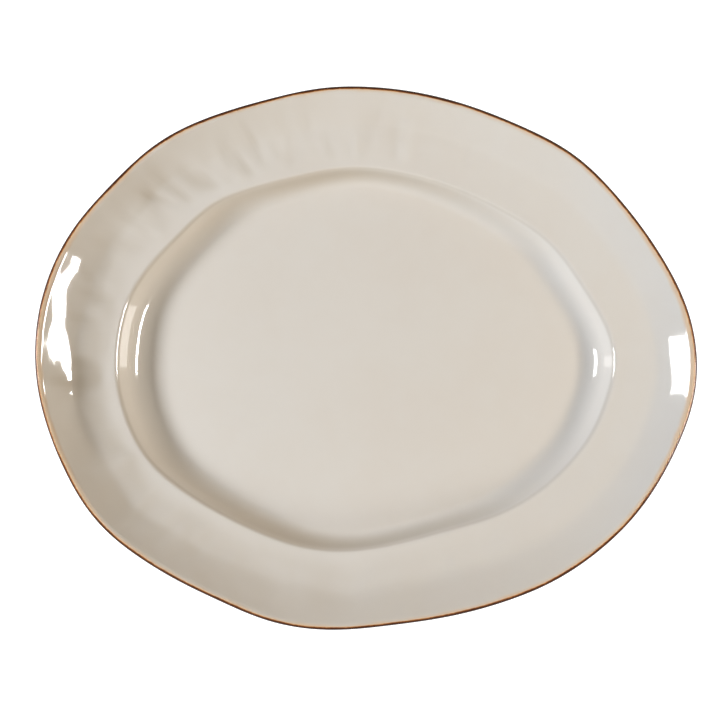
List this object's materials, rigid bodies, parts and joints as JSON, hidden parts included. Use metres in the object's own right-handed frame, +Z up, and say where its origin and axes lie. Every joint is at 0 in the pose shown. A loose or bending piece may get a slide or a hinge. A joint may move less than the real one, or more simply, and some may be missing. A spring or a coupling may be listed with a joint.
{
  "type": "serving platter",
  "caption": "Oval glazed serving platter with a hand-shaped wide flange, recessed well, brown edge band and foot ring.",
  "frame": {"origin": "on the surface the foot ring stands on, under the middle of the platter's outline", "axes": "+X along the platter's length, +Y across it, +Z up out of the well"},
  "size_m": [0.5082, 0.4171, 0.0424],
  "materials": {
    "bare_clay": "matte, fine sandy biscuit",
    "ivory_glaze": "glossy",
    "iron_band": "glossy, brushed on, broken at its inner side"
  },
  "bodies": {
    "root": {"clay_body": "bare_clay", "foot_ring": "bare_clay", "face_glaze": "ivory_glaze", "back_glaze": "ivory_glaze", "recess_glaze": "ivory_glaze", "edge_band": "iron_band"}
  },
  "joints": []
}
